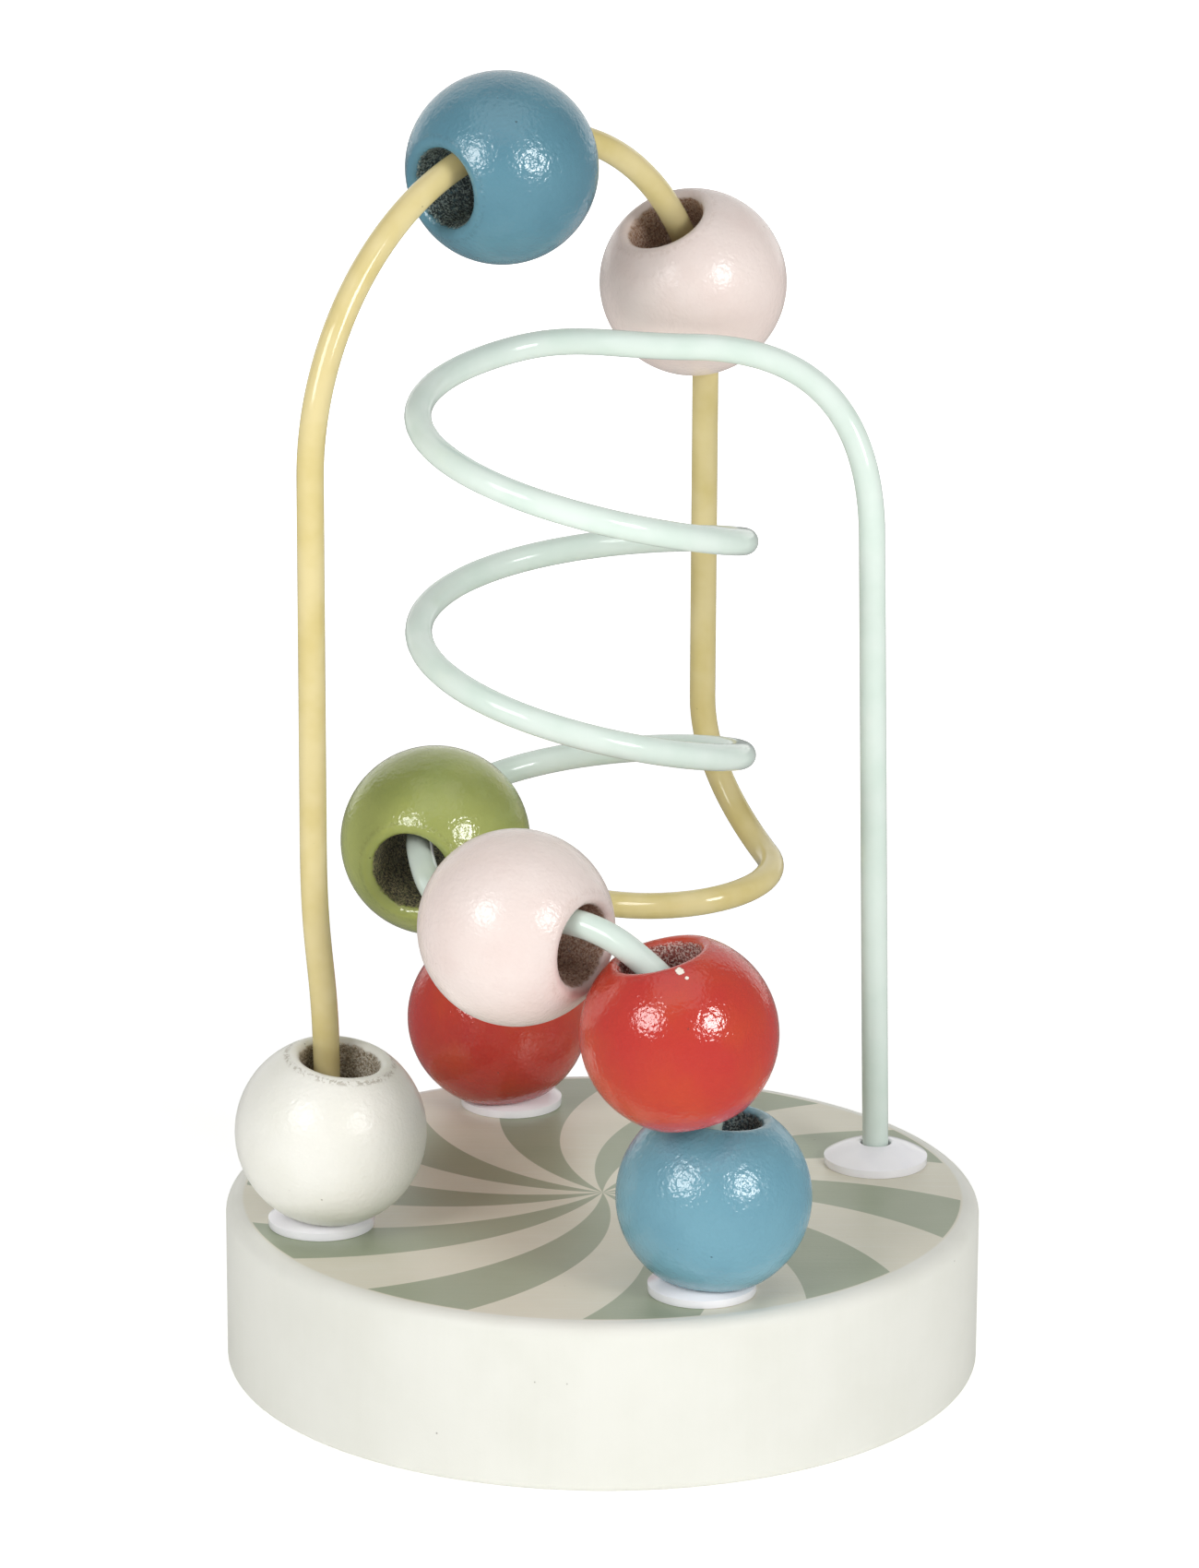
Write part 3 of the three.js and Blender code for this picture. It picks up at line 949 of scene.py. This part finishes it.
@dataclass(frozen=True)
class YellowRoute:
    """The yellow wire's way: left leg, arch, drop, loop and the bend to the back foot.

    Heights are above the base's top, angles are in degrees, and a run is a bend's handle.
    """

    kink_height: float = 24 * MM
    kink_offset: float = -1 * MM
    kink_run: float = 12 * MM
    post_height: float = 62 * MM
    post_offset: float = 0.8 * MM
    post_run: float = 19 * MM
    arch_left: float = 120 * MM
    arch_right: float = 126 * MM
    arch_rise: float = 44 * MM
    drop: Vector = Vector((16.0, 45.0)) * MM
    drop_end: float = 70 * MM
    loop_axis: Vector = Vector((12.0, 27.0)) * MM
    loop_radius: float = 15 * MM
    loop_height: float = 47 * MM
    loop_pitch: float = 9 * MM
    loop_start: float = 15.0
    loop_turn: float = -110.0
    entry_drop: float = 12 * MM
    entry_run: float = 10 * MM
    exit_run: float = 24 * MM
    exit_drop: float = 30 * MM
    leg_height: float = 18 * MM

    def loop(self) -> Helix:
        """Gives the part of a loop behind the coil."""
        return Helix(
            axis=self.loop_axis,
            radius=self.loop_radius,
            top=Base.height + self.loop_height,
            pitch=self.loop_pitch,
            dip=0.0,
            start=math.radians(self.loop_start),
            turn=math.radians(self.loop_turn),
        )

    def stretches(self, left: Vector, back: Vector) -> list[Curve]:
        """Gives the way as a list of stretches.

        Args:
            left: the left foot.
            back: the back foot.

        Returns:
            The stretches in order.
        """
        leg_foot = above(left, 0.0)
        kink = above(left, self.kink_height) + LEFT * self.kink_offset
        post = left + LEFT * self.post_offset
        post_low, arch_left = above(post, self.post_height), above(post, self.arch_left)
        arch_right, drop_end = above(self.drop, self.arch_right), above(self.drop, self.drop_end)
        loop = self.loop()
        into, out = loop.heading(0.0), loop.heading(1.0)
        leg_top = above(back, self.leg_height)
        return [
            Straight(seat(left), leg_foot),
            Bend(leg_foot, UP, kink, UP, self.kink_run, self.kink_run),
            Bend(kink, UP, post_low, UP, self.post_run, self.post_run),
            Straight(post_low, arch_left),
            Arch(arch_left, arch_right, self.arch_rise),
            Straight(arch_right, drop_end),
            Bend(drop_end, DOWN, loop.at(0.0), into, self.entry_drop, self.entry_run),
            loop,
            Bend(loop.at(1.0), out, leg_top, DOWN, self.exit_run, self.exit_drop),
            Straight(leg_top, seat(back)),
        ]


@dataclass
class Bead:
    """A painted wooden bead on a wire, with a rough bore between rounded mouths."""

    node: str
    axis: Vector
    finish: Paint
    chips: tuple[tuple[Vector, float], ...] = ()
    skin: Skin = Skin()
    diameter: float = 30 * MM
    bore: float = 12.4 * MM
    mouth: float = 1.3 * MM
    mouth_steps: int = 10
    ball_steps: int = 40
    bore_rows: tuple[float, ...] = (0.5, 0.0, -0.5, -1.0)
    sides: int = 96

    def centre(self) -> Vector:
        """Gives the bead's middle from its node, which is alike on opposite sides."""
        low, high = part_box(self.node)
        return (low + high) / 2

    def turn(self) -> Matrix:
        """Gives the turn that brings the bore from +Z to its axis."""
        return UP.rotation_difference(self.axis).to_matrix()

    def profile(self) -> Lathe:
        """Draws the ball, the two mouths and the bore between them."""
        reach = self.diameter / 2
        ring = self.bore / 2 + self.mouth
        rise = math.sqrt((reach - self.mouth) ** 2 - ring * ring)
        lean = math.degrees(math.atan2(rise, ring))
        grow = reach / (reach - self.mouth)
        half = Lathe(ring * grow, -rise * grow).arc(0.0, 0.0, 2 * lean, self.ball_steps)
        half.arc(ring, rise, 180 - lean, self.mouth_steps)
        for share in self.bore_rows:
            half.line(self.bore / 2, rise * share)
        return half.arc(ring, -rise, 180 - lean, self.mouth_steps)

    def dress(self) -> bpy.types.Material:
        """Makes the paint, its fine bumps and pinholes, and the bare speckled bore, with painted
        shade in it on some beads.
        """
        look, skin = self.finish, self.skin
        roughness, shine, depth = look.sheen.value
        shader = Shader(f"{self.node}_{look.name}")
        here = shader.place(self.centre(), self.turn())
        x, y, _ = shader.axes(here)
        r = (x * x + y * y) ** 0.5
        ragged = shader.noise(here, skin.ragged, 3.0, 0.7)
        speckle = shader.noise(here, skin.speckle, 2.0, 0.7)
        edge = self.bore / 2 + skin.edge_in + (ragged - 0.5) * skin.edge_wander
        bare = r.ramp(edge + skin.edge_soft, edge - skin.edge_soft)
        rim = self.bore / 2 + skin.rub_place * self.mouth
        ring = abs(r - rim).ramp(skin.rub_width, skin.rub_core)
        rubbed = ring * ragged.ramp(0.48, 0.56) * look.wear
        cloud = shader.noise(here, skin.cloud, 3.0)
        fibre = shader.noise(shader.stretch(here, skin.fibre_stretch), skin.fibre, 3.0, 0.6)
        pin = shader.dots(here, skin.pin_spacing, skin.pin_radius, skin.pin_share)
        body = shader.mix(cloud.ramp(0.3, 0.75) * skin.cloud_share, look.colour, look.deep)
        worn = pin * skin.pin_strength + rubbed * skin.rub_strength
        pored = shader.mix(worn, body, look.wood_and_bore_shade)
        # The bore: bare wood with light specks; on the blue and green beads that colour also holds
        # painted shade.
        raw = shader.mix(speckle.ramp(0.46, 0.6), look.wood_and_bore_shade, look.fleck)
        pitted = shader.mix(speckle.ramp(0.42, 0.28) * skin.pit_strength, raw, skin.pit)
        colour = shader.mix(bare, pored, pitted)
        for spot, size in self.chips:
            flake = shader.distance(here, spot) + (ragged - 0.5) * (skin.chip_wander * size)
            outer, inner = (size * share for share in skin.singe)
            singe = flake.ramp(outer, inner) * skin.singe_strength
            singed = shader.mix(singe, colour, look.wood_and_bore_shade)
            colour = shader.mix(flake.ramp(size, size * skin.chip_core), singed, skin.chip)
        fine = shader.noise(here, skin.fine, 1.0)
        dimple = shader.noise(here, skin.dimple)
        peel = fine * skin.fine_relief + dimple * skin.dimple_relief + fibre * skin.fibre_relief
        paint = peel - pin * skin.pin_dent - rubbed * skin.rub_dent
        bore = speckle * skin.speckle_relief - skin.speckle_dent
        height = paint * (1 - bare) + bore * bare
        matt = roughness + (cloud - 0.5) * skin.cloud_roughness
        return shader.surface({
            "Base Color": colour,
            "Roughness": matt + bare * (skin.bare_roughness - roughness),
            "Specular IOR Level": shine,
            "Normal": shader.bump(height, depth * MM),
        })

    def build(self) -> None:
        """Makes the bead where its node is and lets it stand for that node."""
        bm = self.profile().turn(self.sides)
        move = Matrix.Translation(self.centre()) @ self.turn().to_4x4()
        bmesh.ops.transform(bm, matrix=move, verts=bm.verts)
        made = piece(bm, f"painted_{self.node}", self.dress())
        stand_for(made, self.node, self.node)


@dataclass(frozen=True)
class Softbox:
    """A square light at a bearing from the front, aimed at the toy."""

    name: str
    bearing: float
    elevation: float
    side: float
    power: float
    distance: float = 0.8
    aim: Vector = Vector((0.0, 0.0, 0.1))

    def build(self) -> None:
        """Hangs the light."""
        light = bpy.data.lights.new(self.name, "AREA")
        light.shape = "SQUARE"
        light.size = self.side
        light.energy = self.power
        lamp = bpy.data.objects.new(self.name, light)
        turn, rise = math.radians(self.bearing), math.radians(self.elevation)
        level = Vector((math.sin(turn), -math.cos(turn), 0.0))
        out = level * math.cos(rise) + UP * math.sin(rise)
        lamp.location = self.aim + out * self.distance
        lamp.rotation_euler = out.to_track_quat("Z", "Y").to_euler()
        bpy.context.scene.collection.objects.link(lamp)


@dataclass
class Studio:
    """The pale floor and wall, the soft light and the camera."""

    floor_side: float = 12.0
    floor_glow: tuple[float, float] = (0.42, 0.86)
    glow_reach: tuple[float, float] = (0.12, 0.7)
    wall_side: float = 4.0
    wall_away: float = 2.0
    wall_glow: tuple[float, float] = (0.3, 0.3)
    paper: Colour = linear("#f7f7f5")
    paper_mottle: float = 0.05
    paper_roughness: float = 0.6
    mottle_roughness: float = 0.1
    sky: Colour = (1.0, 1.0, 1.0, 1.0)
    sky_strength: float = 0.23
    camera_at: Vector = Vector((-0.77, -944.6, 363.5)) * MM
    camera_aim: Vector = Vector((-0.77, 0.0, 94.73)) * MM
    camera_roll: float = 0.25
    lens: float = 144.0
    sensor: float = 36.0
    boxes: tuple[Softbox, ...] = (
        Softbox("right_softbox", bearing=39.0, elevation=22.0, side=0.24, power=2.54),
        Softbox("left_softbox", bearing=-39.0, elevation=27.0, side=0.31, power=2.47),
        Softbox("top_softbox", bearing=0.0, elevation=72.0, side=0.8, power=1.1),
    )

    def sheet(
        self, name: str, side: float, glow: tuple[float, float], place: Matrix
    ) -> bpy.types.Object:
        """Makes a square sheet of pale paper that glows a little.

        Args:
            name: the sheet's name.
            side: its side, in metres.
            glow: how strongly it glows near the toy and far from it.
            place: where it is.

        Returns:
            The sheet, which isn't part of the toy.
        """
        bm = bmesh.new()
        bmesh.ops.create_grid(bm, x_segments=2, y_segments=2, size=side / 2, matrix=place)
        shader = Shader(name)
        here = shader.place()
        x, y, _ = shader.axes(here)
        far = ((x * x + y * y) ** 0.5).ramp(*self.glow_reach)
        near_glow, far_glow = ((level, level, level, 1.0) for level in glow)
        mottle = shader.noise(here, self.paper_mottle)
        material = shader.surface({
            "Base Color": self.paper,
            "Roughness": self.paper_roughness + (mottle - 0.5) * self.mottle_roughness,
            "Emission Color": shader.mix(far, near_glow, far_glow),
            "Emission Strength": 1.0,
        })
        made = piece(bm, name, material)
        return made

    def backdrop(self) -> None:
        """Lays the floor, which is kept out of reflections, and hangs a wall above the picture."""
        floor = self.sheet("studio_floor", self.floor_side, self.floor_glow, Matrix.Identity(4))
        floor.visible_glossy = False
        upright = Matrix.Rotation(math.radians(90), 4, "X")
        away = Matrix.Translation((0.0, self.wall_away, self.wall_side / 2))
        self.sheet("studio_wall", self.wall_side, self.wall_glow, away @ upright)

    def light(self) -> None:
        """Sets the sky and hangs the lights."""
        world = bpy.data.worlds.new("studio")
        world.use_nodes = True
        sky = world.node_tree.nodes["Background"]
        sky.inputs["Color"].default_value = self.sky
        sky.inputs["Strength"].default_value = self.sky_strength
        bpy.context.scene.world = world
        for box in self.boxes:
            box.build()

    def camera(self) -> None:
        """Sets the camera at the photograph's angle."""
        data = bpy.data.cameras.new("photo_camera")
        data.sensor_fit = "VERTICAL"
        data.sensor_height = self.sensor
        data.lens = self.lens
        camera = bpy.data.objects.new("photo_camera", data)
        back = self.camera_at - self.camera_aim
        roll = Matrix.Rotation(math.radians(self.camera_roll), 4, "Z")
        facing = back.to_track_quat("Z", "Y").to_matrix().to_4x4()
        camera.matrix_world = Matrix.Translation(self.camera_at) @ facing @ roll
        bpy.context.scene.collection.objects.link(camera)
        bpy.context.scene.camera = camera
        bpy.context.scene.view_settings.view_transform = "Standard"

    def build(self) -> None:
        """Sets up the whole studio."""
        self.camera()
        self.backdrop()
        self.light()


RED_CHIPS = (
    (Vector((-1.58, -8.45, -12.29)) * MM, 0.72 * MM),
    (Vector((-2.2, -9.61, -11.31)) * MM, 0.32 * MM),
)
BEADS = (
    Bead("cream_bead", Vector((0.12905, -0.11619, 0.98481)), CREAM),
    Bead("upper_blue_bead", Vector((0.70467, 0.69598, 0.13803)), SHADED_BLUE),
    Bead("upper_pink_bead", Vector((0.36932, 0.36477, -0.85472)), PINK),
    Bead("back_red_bead", Vector((-0.06976, 0.0, 0.99756)), RED),
    Bead("lower_blue_bead", Vector((0.0819, 0.02981, 0.99619)), BLUE),
    Bead("front_red_bead", Vector((0.24198, 0.01958, -0.97008)), RED, RED_CHIPS),
    Bead("lower_pink_bead", Vector((0.81537, -0.57665, -0.05142)), PINK),
    Bead("green_bead", Vector((-0.28993, -0.94676, -0.13996)), GREEN),
)


def main() -> None:
    """Builds the studio and every piece."""
    logging.basicConfig(level=logging.INFO, format="%(name)s: %(message)s")
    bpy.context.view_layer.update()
    Studio().build()
    base, collar = Base(), Collar()
    feet = base.feet()
    right, back, left, front = feet
    base.build(collar.hole_radius())
    plastic = collar.dress()
    for name, foot in zip(("right", "back", "left", "front"), feet):
        collar.build(f"collar_{name}", foot, plastic)
    Wire("mint_coil_wire", "mint_wire", MintRoute().stretches(right, front), MINT).build()
    Wire("yellow_arch_wire", "yellow_wire", YellowRoute().stretches(left, back), YELLOW).build()
    for bead in BEADS:
        bead.build()


if __name__ == "__main__":
    main()
